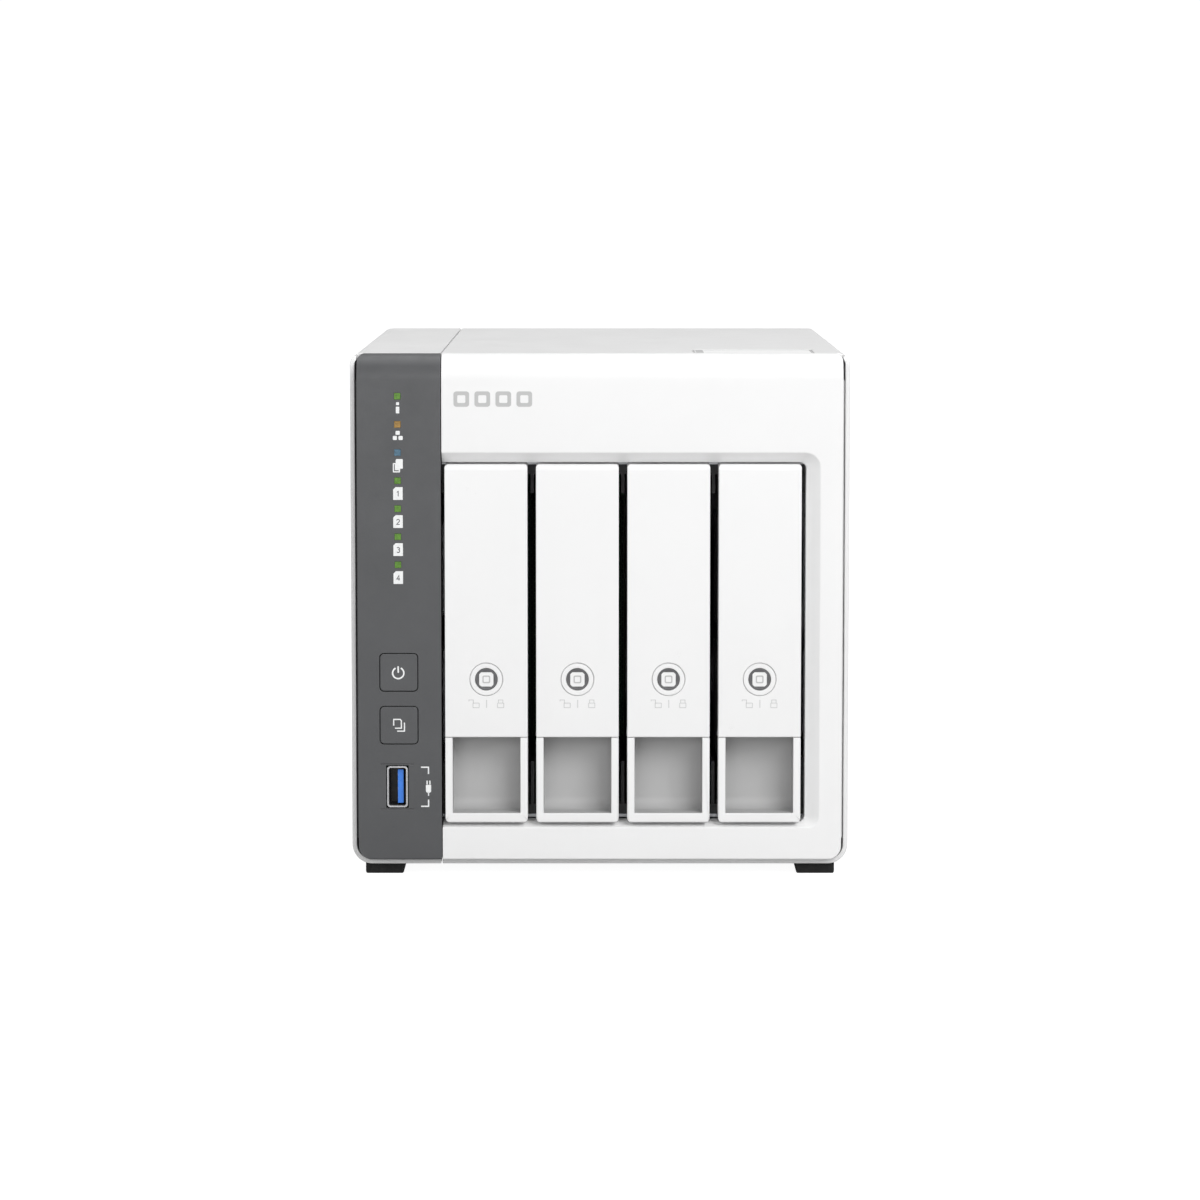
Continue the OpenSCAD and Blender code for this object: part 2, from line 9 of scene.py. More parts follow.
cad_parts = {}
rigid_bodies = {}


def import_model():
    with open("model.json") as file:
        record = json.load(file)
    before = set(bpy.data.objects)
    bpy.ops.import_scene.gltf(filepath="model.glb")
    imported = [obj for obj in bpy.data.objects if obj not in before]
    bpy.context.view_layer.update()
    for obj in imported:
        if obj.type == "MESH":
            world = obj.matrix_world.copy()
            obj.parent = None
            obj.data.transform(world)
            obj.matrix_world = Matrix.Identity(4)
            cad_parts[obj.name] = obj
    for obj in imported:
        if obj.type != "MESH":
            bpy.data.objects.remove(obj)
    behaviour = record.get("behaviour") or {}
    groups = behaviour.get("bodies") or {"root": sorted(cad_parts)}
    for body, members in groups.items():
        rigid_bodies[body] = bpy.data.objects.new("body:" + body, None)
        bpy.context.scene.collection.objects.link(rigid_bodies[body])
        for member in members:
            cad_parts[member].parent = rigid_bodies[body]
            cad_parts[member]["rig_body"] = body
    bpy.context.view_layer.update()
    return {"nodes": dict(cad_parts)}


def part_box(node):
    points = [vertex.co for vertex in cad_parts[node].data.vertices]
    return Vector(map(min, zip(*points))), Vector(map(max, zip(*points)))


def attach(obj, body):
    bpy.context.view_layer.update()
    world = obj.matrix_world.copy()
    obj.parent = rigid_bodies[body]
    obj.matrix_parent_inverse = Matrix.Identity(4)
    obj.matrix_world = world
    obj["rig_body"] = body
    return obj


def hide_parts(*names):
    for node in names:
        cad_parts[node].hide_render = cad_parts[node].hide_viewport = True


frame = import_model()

MM = 0.001
TRAYS = (1, 2, 3, 4)
scene = bpy.context.scene
scene.view_settings.view_transform = "Standard"

# ---- camera ----
camera_data = bpy.data.cameras.new("camera")
camera_data.lens = 130.0
camera_data.sensor_width = 36.0
camera = bpy.data.objects.new("camera", camera_data)
camera.location = (0.0, -1.4908, 0.2294)
camera.rotation_euler = (math.radians(90 - 5.77), 0.0, 0.0)
scene.collection.objects.link(camera)
scene.camera = camera


# ---- places, from the frame, in millimetres ----
def span(node):
    """Lowest and highest corner of a CAD node in millimetres."""
    low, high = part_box(node)
    return low / MM, high / MM


def middle(node):
    low, high = span(node)
    return (low + high) / 2


panel_low = span("control_panel")[0]
bezel_low = span("front_bezel")[0]
skin_y = panel_low.y
tray_low = {i: span(f"tray_front_{i}")[0] for i in TRAYS}
tray_high = {i: span(f"tray_front_{i}")[1] for i in TRAYS}
tray_x = {i: middle(f"tray_front_{i}").x for i in TRAYS}
lever_low = span("lever_1")[0]
lock_z = middle("lock_cap_1").z
led = middle("light_amber")
led_pitch = led.z - middle("light_blue").z
rear_y = span("port_plate")[1].y


# ---- materials ----
class Nodes:
    """A node material under construction."""

    def __init__(self, name):
        self.material = bpy.data.materials.new(name)
        self.material.use_nodes = True
        self.tree = self.material.node_tree
        self.shader = self.tree.nodes["Principled BSDF"]
        self.place = self.new("ShaderNodeTexCoord").outputs["Object"]

    def new(self, kind, **settings):
        node = self.tree.nodes.new(kind)
        for key, value in settings.items():
            setattr(node, key, value)
        return node

    def link(self, source, target):
        self.tree.links.new(source, target)

    def stretched(self, scale):
        """Object coordinates scaled along each axis, for brushed or streaked finishes."""
        mapping = self.new("ShaderNodeMapping")
        mapping.inputs["Scale"].default_value = scale
        self.link(self.place, mapping.inputs["Vector"])
        return mapping.outputs["Vector"]

    def noise(self, size_mm, detail=3.0, vector=None, roughness=0.5):
        """Noise whose features are about size_mm across."""
        node = self.new("ShaderNodeTexNoise")
        node.inputs["Scale"].default_value = 1.0 / (size_mm * MM)
        node.inputs["Detail"].default_value = detail
        node.inputs["Roughness"].default_value = roughness
        self.link(vector or self.place, node.inputs["Vector"])
        return node.outputs["Fac"]

    def ranged(self, source, low, high, from_low=0.3, from_high=0.7):
        node = self.new("ShaderNodeMapRange")
        node.inputs["From Min"].default_value = from_low
        node.inputs["From Max"].default_value = from_high
        node.inputs["To Min"].default_value = low
        node.inputs["To Max"].default_value = high
        self.link(source, node.inputs["Value"])
        return node.outputs["Result"]

    def math(self, operation, a, b):
        node = self.new("ShaderNodeMath", operation=operation)
        for socket, value in zip(node.inputs, (a, b)):
            if isinstance(value, (int, float)):
                socket.default_value = value
            else:
                self.link(value, socket)
        return node.outputs[0]

    def mix(self, factor, a, b):
        """Colour a where factor is 0, colour b where it is 1."""
        node = self.new("ShaderNodeMix", data_type="RGBA")
        self.link(factor, node.inputs["Factor"])
        for socket, value in ((node.inputs["A"], a), (node.inputs["B"], b)):
            if isinstance(value, tuple):
                socket.default_value = (*value, 1.0)
            else:
                self.link(value, socket)
        return node.outputs["Result"]

    def edges(self, radius_mm):
        """1 on edges, 0 on flats, from the angle between the true and the rounded normal."""
        bevel = self.new("ShaderNodeBevel", samples=4)
        bevel.inputs["Radius"].default_value = radius_mm * MM
        geometry = self.new("ShaderNodeNewGeometry")
        dot = self.new("ShaderNodeVectorMath", operation="DOT_PRODUCT")
        self.link(bevel.outputs["Normal"], dot.inputs[0])
        self.link(geometry.outputs["Normal"], dot.inputs[1])
        return self.ranged(dot.outputs["Value"], 1.0, 0.0, 0.8, 0.99)

    def bump(self, heights):
        """Bumps stacked on each other: (height source, depth in mm) pairs."""
        normal = None
        for height, depth_mm in heights:
            node = self.new("ShaderNodeBump")
            node.inputs["Strength"].default_value = 1.0
            node.inputs["Distance"].default_value = depth_mm * MM
            self.link(height, node.inputs["Height"])
            if normal:
                self.link(normal, node.inputs["Normal"])
            normal = node.outputs["Normal"]
        self.link(normal, self.shader.inputs["Normal"])


def scaled(colour, factor):
    return tuple(min(1.0, channel * factor) for channel in colour)


def finish(name, colour, rough=0.45, vary=0.03, patch_mm=30.0, grain_mm=0.5, grain_depth=0.004,
           wave_depth=0.0, metallic=0.0, wear=0.15, wear_mm=0.25, specular=0.5, coat=0.0,
           brushed=None, spread=0.08):
    """One moulded, painted or plated finish, with patches, grain, varied gloss and worn edges."""
    n = Nodes(name)
    grain_place = n.stretched(brushed) if brushed else None
    patches = n.noise(patch_mm, 4.0)
    grain = n.noise(grain_mm, 2.0, grain_place)
    scuffs = n.noise(patch_mm * 0.22, 5.0, grain_place, 0.65)
    base = n.mix(n.ranged(patches, 0.0, 1.0), scaled(colour, 1 - vary), scaled(colour, 1 + vary))
    speckled = n.mix(n.ranged(grain, 0.0, 0.5 * min(1.0, vary * 8)), base, scaled(colour, 1 - 3 * vary))
    target = (0.5, 0.5, 0.5) if sum(colour) < 1.2 else scaled(colour, 0.82)
    edge = n.math("MULTIPLY", n.edges(wear_mm), n.ranged(scuffs, 0.2 * wear, wear))
    n.link(n.mix(edge, speckled, target), n.shader.inputs["Base Color"])
    gloss = n.math("ADD", n.ranged(scuffs, rough - spread, rough + spread),
                   n.ranged(grain, -0.02, 0.02))
    n.link(gloss, n.shader.inputs["Roughness"])
    layers = [(grain, grain_depth)]
    if wave_depth:
        layers.append((n.noise(14.0, 1.0), wave_depth))
    n.bump(layers)
    n.shader.inputs["Metallic"].default_value = metallic
    n.shader.inputs["Specular IOR Level"].default_value = specular
    n.shader.inputs["Coat Weight"].default_value = coat
    return n.material


def lens_finish(name, colour, glow):
    """A small lit lens: milky colour with a soft glow that fades unevenly."""
    n = Nodes(name)
    cloud = n.noise(0.9, 2.0)
    tone = n.mix(n.ranged(cloud, 0.0, 1.0), scaled(colour, 0.75), scaled(colour, 1.2))
    n.link(tone, n.shader.inputs["Base Color"])
    n.link(tone, n.shader.inputs["Emission Color"])
    n.shader.inputs["Emission Strength"].default_value = glow
    n.link(n.ranged(cloud, 0.25, 0.4), n.shader.inputs["Roughness"])
    n.bump([(n.noise(0.3), 0.01)])
    return n.material


def board_finish(name):
    """Green solder mask over faint copper tracks and pads."""
    n = Nodes(name)
    tracks = n.new("ShaderNodeTexBrick", offset=0.5)
    tracks.inputs["Scale"].default_value = 260.0
    tracks.inputs["Mortar Size"].default_value = 0.06
    turned = n.new("ShaderNodeMapping")
    turned.inputs["Rotation"].default_value = (math.pi / 2, 0.0, math.pi / 2)
    n.link(n.place, turned.inputs["Vector"])
    n.link(turned.outputs["Vector"], tracks.inputs["Vector"])
    cloud = n.ranged(n.noise(6.0, 4.0), 0.0, 1.0)
    mask = n.mix(cloud, (0.008, 0.085, 0.035), (0.014, 0.13, 0.055))
    n.link(n.mix(tracks.outputs["Fac"], mask, (0.05, 0.2, 0.08)), n.shader.inputs["Base Color"])
    n.link(n.ranged(n.noise(2.0), 0.3, 0.45), n.shader.inputs["Roughness"])
    n.bump([(tracks.outputs["Fac"], 0.03), (n.noise(0.5), 0.004)])
    return n.material


M = {
    "cover_paint": finish("cover_paint", (0.80, 0.80, 0.80), 0.42, 0.012, 60, 0.55, 0.006, 0.01),
    "bezel_plastic": finish("bezel_plastic", (0.86, 0.86, 0.86), 0.38, 0.008, 50, 0.35, 0.002),
    "tray_white": finish("tray_white", (0.86, 0.86, 0.86), 0.36, 0.008, 50, 0.35, 0.002),
    # painted shade: a mid grey laid on the white walls of the tray fronts' finger recesses, standing in for
    # the shadow under the lever
    "recess_painted_shade": finish("recess_painted_shade", (0.46, 0.46, 0.46), 0.5, 0.02, 12, 0.3, 0.006, wear=0.0),
    "strip_plastic": finish("strip_plastic", (0.080, 0.082, 0.086), 0.42, 0.05, 18, 0.28, 0.006,
                            wear=0.2),
    "key_plastic": finish("key_plastic", (0.083, 0.085, 0.089), 0.4, 0.05, 8, 0.28, 0.006, wear=0.25),
    "print_white": finish("print_white", (0.86, 0.87, 0.87), 0.55, 0.03, 2, 0.12, 0.004, wear=0.0),
    "print_dark": finish("print_dark", (0.09, 0.09, 0.1), 0.55, 0.05, 2, 0.12, 0.003, wear=0.0),
    "print_pale": finish("print_pale", (0.52, 0.52, 0.52), 0.5, 0.02, 2, 0.12, 0.003, wear=0.0),
    "print_faint": finish("print_faint", (0.60, 0.60, 0.60), 0.5, 0.03, 2, 0.12, 0.003, wear=0.0),
    "lock_grey": finish("lock_grey", (0.12, 0.12, 0.125), 0.4, 0.06, 3, 0.2, 0.006, wear=0.2),
    "lock_white": finish("lock_white", (0.86, 0.86, 0.86), 0.35, 0.01, 4, 0.2, 0.002),
    "tray_black": finish("tray_black", (0.022, 0.022, 0.024), 0.48, 0.15, 14, 0.45, 0.02, wear=0.12),
    "strip_grey": finish("strip_grey", (0.28, 0.28, 0.30), 0.5, 0.06, 10, 0.4, 0.01),
    "rail_plastic": finish("rail_plastic", (0.035, 0.035, 0.037), 0.42, 0.12, 12, 0.4, 0.012),
    "bright_steel": finish("bright_steel", (0.80, 0.80, 0.82), 0.2, 0.03, 6, 0.12, 0.002,
                           metallic=1.0, brushed=(1, 1, 14)),
    "dull_steel": finish("dull_steel", (0.52, 0.53, 0.55), 0.36, 0.08, 16, 0.25, 0.004,
                         metallic=1.0, brushed=(1, 12, 1)),
    "rear_paint": finish("rear_paint", (0.66, 0.67, 0.68), 0.45, 0.02, 40, 0.5, 0.006, 0.01),
    "tongue_blue": finish("tongue_blue", (0.045, 0.22, 0.78), 0.32, 0.06, 4, 0.3, 0.003, wear=0.0),
    "part_black": finish("part_black", (0.018, 0.018, 0.02), 0.4, 0.15, 9, 0.3, 0.008, wear=0.1),
    "alloy": finish("alloy", (0.66, 0.67, 0.69), 0.33, 0.05, 10, 0.2, 0.004, metallic=1.0,
                    brushed=(1, 10, 1)),
    "foot_rubber": finish("foot_rubber", (0.007, 0.007, 0.007), 0.7, 0.2, 8, 0.35, 0.03, wear=0.08),
    "label_white": finish("label_white", (0.90, 0.90, 0.90), 0.5, 0.01, 12, 0.15, 0.003, wear=0.0),
    "gold": finish("gold", (0.83, 0.62, 0.26), 0.22, 0.05, 2, 0.1, 0.001, metallic=1.0, wear=0.0),
    "board_green": board_finish("board_green"),
    "lens_green": lens_finish("lens_green", (0.085, 0.215, 0.016), 0.12),
    "lens_amber": lens_finish("lens_amber", (0.30, 0.17, 0.035), 0.12),
    "lens_blue": lens_finish("lens_blue", (0.06, 0.135, 0.20), 0.12),
}


# ---- mesh helpers ----
def add_piece(name, bm, material, body, replaced=(), smooth=35.0):
    """Turns bm, in millimetres, into a piece that rides on a body."""
    bmesh.ops.recalc_face_normals(bm, faces=bm.faces)
    mesh = bpy.data.meshes.new(name)
    bm.to_mesh(mesh)
    bm.free()
    mesh.transform(Matrix.Scale(MM, 4))
    mesh.polygons.foreach_set("use_smooth", [True] * len(mesh.polygons))
    mesh.set_sharp_from_angle(angle=math.radians(smooth))
    mesh.materials.append(M[material])
    obj = bpy.data.objects.new(name, mesh)
    scene.collection.objects.link(obj)
    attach(obj, body)
    if replaced:
        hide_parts(*replaced)
    return obj


def bevel(obj, width_mm, angle=30.0, segments=2):
    modifier = obj.modifiers.new("edge", "BEVEL")
    modifier.width = width_mm * MM
    modifier.segments = segments
    modifier.limit_method = "ANGLE"
    modifier.angle_limit = math.radians(angle)
    modifier.harden_normals = True
    modifier.use_clamp_overlap = False
    return obj


def weld(bm, axis, place):
    """Closes a hairline cut across an axis and removes the faces inside it."""
    seam = [v for v in bm.verts if abs(v.co[axis] - place) < 0.03]
    for v in seam:
        v.co[axis] = place
    bmesh.ops.remove_doubles(bm, verts=seam, dist=0.004)
    inner = [f for f in bm.faces if all(abs(v.co[axis] - place) < 0.005 for v in f.verts)]
    bmesh.ops.delete(bm, geom=inner, context="FACES")


def skin(node, material, width_mm, welds=(), cuts=(), lining=None):
    """A copy of a CAD node's surface with clean faces and truly rounded edges.

    cuts are (axis, place) planes through holes, so that no flat face is left with a hole in it.
    lining is (material, test): faces whose middle passes the test take that material; the tray fronts use
    it for the painted shade in their finger recesses.
    """
    source = frame["nodes"][node]
    bm = bmesh.new()
    verts = [bm.verts.new(v.co / MM) for v in source.data.vertices]
    for face in source.data.polygons:
        corners = [verts[i] for i in face.vertices]
        if len(set(corners)) > 2:
            bm.faces.new(corners)
    bmesh.ops.remove_doubles(bm, verts=bm.verts, dist=0.002)
    for axis, place in welds:
        weld(bm, axis, place)
    for axis, place in cuts:
        normal = [0.0, 0.0, 0.0]
        normal[axis] = 1.0
        point = [place * n for n in normal]
        cut = bmesh.ops.bisect_plane(bm, geom=bm.verts[:] + bm.edges[:] + bm.faces[:], dist=0.002,
                                     plane_co=point, plane_no=normal)
        for edge in cut["geom_cut"]:
            if isinstance(edge, bmesh.types.BMEdge):
                edge.seam = True
    bmesh.ops.dissolve_limit(bm, angle_limit=math.radians(0.6), verts=bm.verts, edges=bm.edges,
                             delimit={"SEAM"})
    if lining:
        for face in bm.faces:
            face.material_index = int(lining[1](face.calc_center_median()))
    obj = add_piece(node + ".skin", bm, material, source["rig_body"], (node,))
    if lining:
        obj.data.materials.append(M[lining[0]])
    return bevel(obj, width_mm)


def rounded(cx, cz, w, h, radius, steps=5):
    """Rounded rectangle outline, anticlockwise from the lower left; radius may be four numbers."""
    radii = radius if isinstance(radius, tuple) else (radius,) * 4
    points = []
    for k, (sx, sz) in enumerate(((-1, -1), (1, -1), (1, 1), (-1, 1))):
        r = radii[k]
        for j in range(steps + 1 if r else 1):
            a = math.pi + k * math.pi / 2 + (j / steps * math.pi / 2 if r else 0)
            ox = cx + sx * (w / 2 - r)
            oz = cz + sz * (h / 2 - r)
            points.append((ox + r * math.cos(a), oz + r * math.sin(a)))
    return points


def arc(cx, cz, r, start, end, steps=24):
    """Points of an arc, from start to end degrees, 0 to the right and 90 up."""
    angles = [math.radians(start + (end - start) * k / steps) for k in range(steps + 1)]
    return [(cx + r * math.cos(a), cz + r * math.sin(a)) for a in angles]


def stroke(path, width):
    """Outline of a line of even width along path."""
    left, right = [], []
    for k, point in enumerate(path):
        here = Vector(point)
        before = (here - Vector(path[k - 1])).normalized() if k else None
        after = (Vector(path[k + 1]) - here).normalized() if k + 1 < len(path) else None
        along = ((before or after) + (after or before)).normalized()
        across = Vector((-along.y, along.x))
        reach = width / 2 / max(0.5, abs((before or after).dot(along)))
        left.append(tuple(here + across * reach))
        right.append(tuple(here - across * reach))
    return left + right[::-1]


def shape_xz(loops, y0, y1):
    """A slab between y0 and y1 whose outline is loops[0] and whose holes are the rest."""
    bm = bmesh.new()
    edges = []
    for points in loops:
        verts = [bm.verts.new((x, y0, z)) for x, z in points]
        edges += [bm.edges.new((a, b)) for a, b in zip(verts, verts[1:] + verts[:1])]
    bmesh.ops.triangle_fill(bm, edges=edges, use_beauty=True)
    grown = bmesh.ops.extrude_face_region(bm, geom=bm.faces[:])
    moved = [g for g in grown["geom"] if isinstance(g, bmesh.types.BMVert)]
    bmesh.ops.translate(bm, verts=moved, vec=(0, y1 - y0, 0))
    return bm


def join(bm, part):
    """Adds the bmesh part to bm."""
    mesh = bpy.data.meshes.new("part")
    part.to_mesh(mesh)
    part.free()
    bm.from_mesh(mesh)
    bpy.data.meshes.remove(mesh)


def slab(name, shapes, y0, y1, material, body, replaced=(), turn=None):
    """One piece from flat shapes that face the front; each shape is a list of loops."""
    bm = bmesh.new()
    for loops in shapes:
        join(bm, shape_xz(loops, y0, y1))
    if turn:
        bmesh.ops.transform(bm, matrix=turn, verts=bm.verts)
    return add_piece(name, bm, material, body, replaced)


def lathe(profile, x, z, steps=48):
    """A turned solid around the Y axis through (x, z) from (radius, y) points."""
    bm = bmesh.new()
    verts = [bm.verts.new((x + r, y, z)) for r, y in profile]
    edges = [bm.edges.new(pair) for pair in zip(verts, verts[1:])]
    bmesh.ops.spin(bm, geom=verts + edges, cent=(x, 0, z), axis=(0, 1, 0), angle=2 * math.pi,
                   steps=steps, use_duplicate=False)
    bmesh.ops.remove_doubles(bm, verts=bm.verts, dist=1e-4)
    return bm


def tube(path, radius, closed=False, sides=10):
    """A round wire along path."""
    bm = bmesh.new()
    rings = []
    count = len(path)
    for k in range(count):
        before = Vector(path[k - 1]) if k or closed else Vector(path[0])
        after = Vector(path[(k + 1) % count]) if k + 1 < count or closed else Vector(path[-1])
        along = (after - before).normalized()
        across = along.cross(Vector((0.0, 1.0, 0.0))).normalized()
        up = across.cross(along)
        rings.append([bm.verts.new(Vector(path[k]) + across * (radius * math.cos(a))
                                   + up * (radius * math.sin(a)))
                      for a in (2 * math.pi * j / sides for j in range(sides))])
    for k in range(count if closed else count - 1):
        a, b = rings[k], rings[(k + 1) % count]
        for j in range(sides):
            bm.faces.new((a[j], a[(j + 1) % sides], b[(j + 1) % sides], b[j]))
    if not closed:
        bm.faces.new(rings[0])
        bm.faces.new(rings[-1])
    return bm


def gather(name, parts, material, body, replaced=(), smooth=35.0):
    """One piece from several bmeshes."""
    bm = bmesh.new()
    for part in parts:
        join(bm, part)
    return add_piece(name, bm, material, body, replaced, smooth)


# ---- the CAD nodes' own materials and rounded skins ----
KEPT = {
    "front_usb_shell": "bright_steel",
    "lights_green": "lens_green", "light_amber": "lens_amber", "light_blue": "lens_blue",
    "front_board": "board_green", "front_usb_tongue": "tongue_blue", "drive_cage": "dull_steel",
    "guide_rails": "rail_plastic", "backplane": "board_green", "drive_sockets": "part_black",
    "main_board": "board_green", "board_parts": "part_black", "heatsink": "alloy",
    "port_plate": "rear_paint", "rear_panel": "rear_paint", "fan_frame": "part_black",
    "lan_jacks": "bright_steel", "rear_usb": "bright_steel", "dc_jack": "part_black",
    "reset_button": "part_black", "top_label": "label_white",
}
# Each skin has its material, the width of its rounded edges and the planes that cut through its holes.
X, Y, Z = 0, 1, 2
COVER_SCREW_X = -74.6
BOTTOM_VENT_XS = (-16.0, 32.0)
PANEL_CUT_X = -64.7
PANEL_CUT_ZS = (29.35, 40.0, 49.3, 57.9, 66.4, 76.0, 90.0)
COVER_CUTS = [(X, COVER_SCREW_X), (Z, 59.0), (Z, 119.0), (Y, 100.0), (Y, 107.3)]
SKINS = {
    "main_shell": ("cover_paint", 0.35, [(X, x) for x in BOTTOM_VENT_XS]),
    "left_cover": ("cover_paint", 0.25, COVER_CUTS),
    "control_panel": ("strip_plastic", 0.1, [(X, PANEL_CUT_X)] + [(Z, z) for z in PANEL_CUT_ZS]),
    "power_button": ("key_plastic", 0.22, []),
    "copy_button": ("key_plastic", 0.22, []),
    "feet": ("foot_rubber", 0.3, []),
}
for node, (material, width, cuts) in SKINS.items():
    skin(node, material, width, cuts=cuts)
bay_corner_x, bay_corner_zs = 64.0, (19.5, 131.7)
skin("front_bezel", "bezel_plastic", 0.3,
     welds=[(X, bay_corner_x)] + [(Z, z) for z in bay_corner_zs])


def in_painted_shade_recess(i):
    """Tells whether a point lies on the walls of tray i's finger recess, which take the grey of painted
    shade.
    """
    half = (tray_high[i].x - tray_low[i].x) / 2 - 2.3
    return lambda p: abs(p.x - tray_x[i]) < half and p.y > tray_low[i].y + 1.0 and p.z < 58.6


# The finger recess walls of each tray front take a grey material: painted shade in place of the shadow
# under the lever.
for i in TRAYS:
    skin(f"tray_front_{i}", "tray_white", 0.25, cuts=[(X, tray_x[i])],
         lining=("recess_painted_shade", in_painted_shade_recess(i)))
    skin(f"lever_{i}", "tray_white", 0.25, cuts=[(X, tray_x[i])])
    KEPT[f"tray_body_{i}"] = "tray_black"

for i in TRAYS:
    KEPT[f"tray_strips_{i}"] = "strip_grey"
    KEPT[f"lever_pin_{i}"] = "bright_steel"
    KEPT[f"lock_core_{i}"] = "lock_grey"
    KEPT[f"lock_cap_{i}"] = "lock_white"
for node, material in KEPT.items():
    for holder in frame["nodes"][node].material_slots:
        holder.material = M[material]

# ---- printed marks on the control strip ----
PRINT = 0.04
print_y = (skin_y - PRINT, skin_y + 0.05)
mark_x = led.x + 0.1


def strip_print(name, shapes, body="case", lift=0.0, material="print_white"):
    return slab(name, shapes, print_y[0] - lift, print_y[1] - lift, material, body)


info_z = led.z + led_pitch - 4.1
strip_print("mark_info", [
    [rounded(mark_x, info_z + 1.73, 0.98, 0.92, 0.1)],
    [rounded(mark_x, info_z - 0.31, 1.1, 2.14, 0.1)],
])
net_z = led.z - 3.5
strip_print("mark_network", [
    [rounded(mark_x, net_z + 0.82, 1.37, 1.28, 0.3)],
    [rounded(mark_x - 0.9, net_z - 0.82, 1.31, 1.31, 0.3)],
    [rounded(mark_x + 0.92, net_z - 0.82, 1.37, 1.31, 0.3)],
])
page_z = led.z - led_pitch - 4.2
page_front = rounded(mark_x - 0.43, page_z - 0.65, 2.32, 3.0, 0.25)
strip_print("mark_pages", [[page_front]])
strip_print("mark_pages_top", [
    [rounded(mark_x + 0.45, page_z + 0.59, 2.29, 3.1, (0.0, 0.25, 0.25, 0.5))],
], lift=0.02)
strip_print("mark_pages_window", [
    [stroke([(mark_x - 1.1, page_z + 0.45), (mark_x - 1.1, page_z - 1.6),
             (mark_x + 0.3, page_z - 1.6)], 0.3)],
], lift=0.01, material="print_dark")

DIGITS = {
    1: [[(-0.32, 0.42), (0.08, 0.72), (0.08, -0.75)]],
    2: [arc(0, 0.3, 0.42, 165, -30, 10) + [(-0.45, -0.72), (0.5, -0.72)]],
    3: [arc(0, 0.37, 0.38, 150, -80, 10), arc(0, -0.35, 0.42, 80, -150, 10)],
    4: [[(0.2, -0.75), (0.2, 0.72), (-0.48, -0.32), (0.5, -0.32)]],
}
for i in TRAYS:
    tab_z = led.z - (i + 1) * led_pitch - 4.1
    tab = [(-1.52, -2.05), (1.53, -2.05), (1.53, 2.05), (-0.75, 2.05), (-1.52, 1.3)]
    strip_print(f"tab_{i}", [[[(mark_x - 0.02 + x, tab_z + z) for x, z in tab]]])
    digit = [[[(mark_x + x * 1.05, tab_z - 0.1 + z * 1.1) for x, z in stroke(path, 0.26)]]
             for path in DIGITS[i]]
    strip_print(f"tab_digit_{i}", digit, lift=0.01, material="print_dark")

# ---- push key symbols ----
power = middle("power_button")
copy = middle("copy_button")
px, pz = power.x - 0.18, power.z - 0.2
strip_print("mark_power", [
    [stroke(arc(px, pz, 1.8, 118, 422, 40), 0.48)],
    [rounded(px, pz + 1.15, 0.48, 2.1, 0.1)],
], "power_key")
cx, cz = copy.x, copy.z
pages = [
    [(cx - 1.7, cz - 0.1), (cx - 1.7, cz + 1.9), (cx + 0.35, cz + 1.9), (cx + 0.75, cz + 1.5),
     (cx + 0.75, cz - 0.95), (cx - 1.3, cz - 0.95)],
    [(cx + 1.75, cz + 0.85), (cx + 1.75, cz - 1.9), (cx - 0.6, cz - 1.9)],
]
strip_print("mark_copy", [[stroke(path, 0.38)] for path in pages], "copy_key")

# ---- port marks: brackets and a plain plug sign ----
usb = middle("front_usb_shell")
bx = usb.x + 7.7
corners = [
    [(bx - 0.1, usb.z + 6.35), (bx + 2.3, usb.z + 6.35), (bx + 2.3, usb.z + 4.15)],
    [(bx - 0.1, usb.z - 6.35), (bx + 2.3, usb.z - 6.35), (bx + 2.3, usb.z - 4.15)],
]
plug_x = bx + 2.3
plug_sign = [
    [rounded(plug_x, usb.z - 0.7, 1.7, 2.6, (0.75, 0.75, 0.1, 0.1))],
    [rounded(plug_x - 0.45, usb.z + 1.35, 0.4, 1.3, 0.1)],
    [rounded(plug_x + 0.45, usb.z + 1.35, 0.4, 1.3, 0.1)],
    [rounded(plug_x, usb.z - 2.4, 0.36, 1.1, 0.05)],
]
strip_print("mark_port", [[stroke(path, 0.42)] for path in corners] + plug_sign)

# ---- plain badge on the bezel: four upright blocks for the four bays ----
badge_x, badge_z = bezel_low.x + 4.0, 154.2
blocks = [[rounded(badge_x + 2.5 + k * 6.7, badge_z, 5.0, 4.9, 0.9),
           rounded(badge_x + 2.5 + k * 6.7, badge_z, 2.6, 2.5, 0.4)] for k in range(4)]
slab("badge_blocks", blocks, skin_y - PRINT, skin_y + 0.05, "print_pale", "case")

# ---- lock marks on the levers ----
for i in TRAYS:
    x, z = tray_x[i], lock_z - 8.0
    y = lever_low.y
    open_lock = [[stroke([(x - 5.6, z + 0.9), (x - 5.6, z + 1.35), (x - 4.2, z + 1.35),
                          (x - 4.2, z + 0.2)], 0.22)],
                 [rounded(x - 3.3, z - 0.4, 2.2, 1.7, 0.2), rounded(x - 3.3, z - 0.4, 1.76, 1.26, 0.1)]]
    bar = [[rounded(x + 0.1, z + 0.1, 0.26, 2.6, 0.05)]]
    shut_lock = [[stroke([(x + 3.9, z + 0.4), (x + 3.9, z + 1.35), (x + 5.3, z + 1.35),
                          (x + 5.3, z + 0.4)], 0.22)],
                 [rounded(x + 4.6, z - 0.4, 2.2, 1.7, 0.2), rounded(x + 4.6, z - 0.4, 1.76, 1.26, 0.1)]]
    slab(f"lock_marks_{i}", open_lock + bar + shut_lock, y - 0.03, y + 0.05, "print_faint",
         f"handle_{i}")

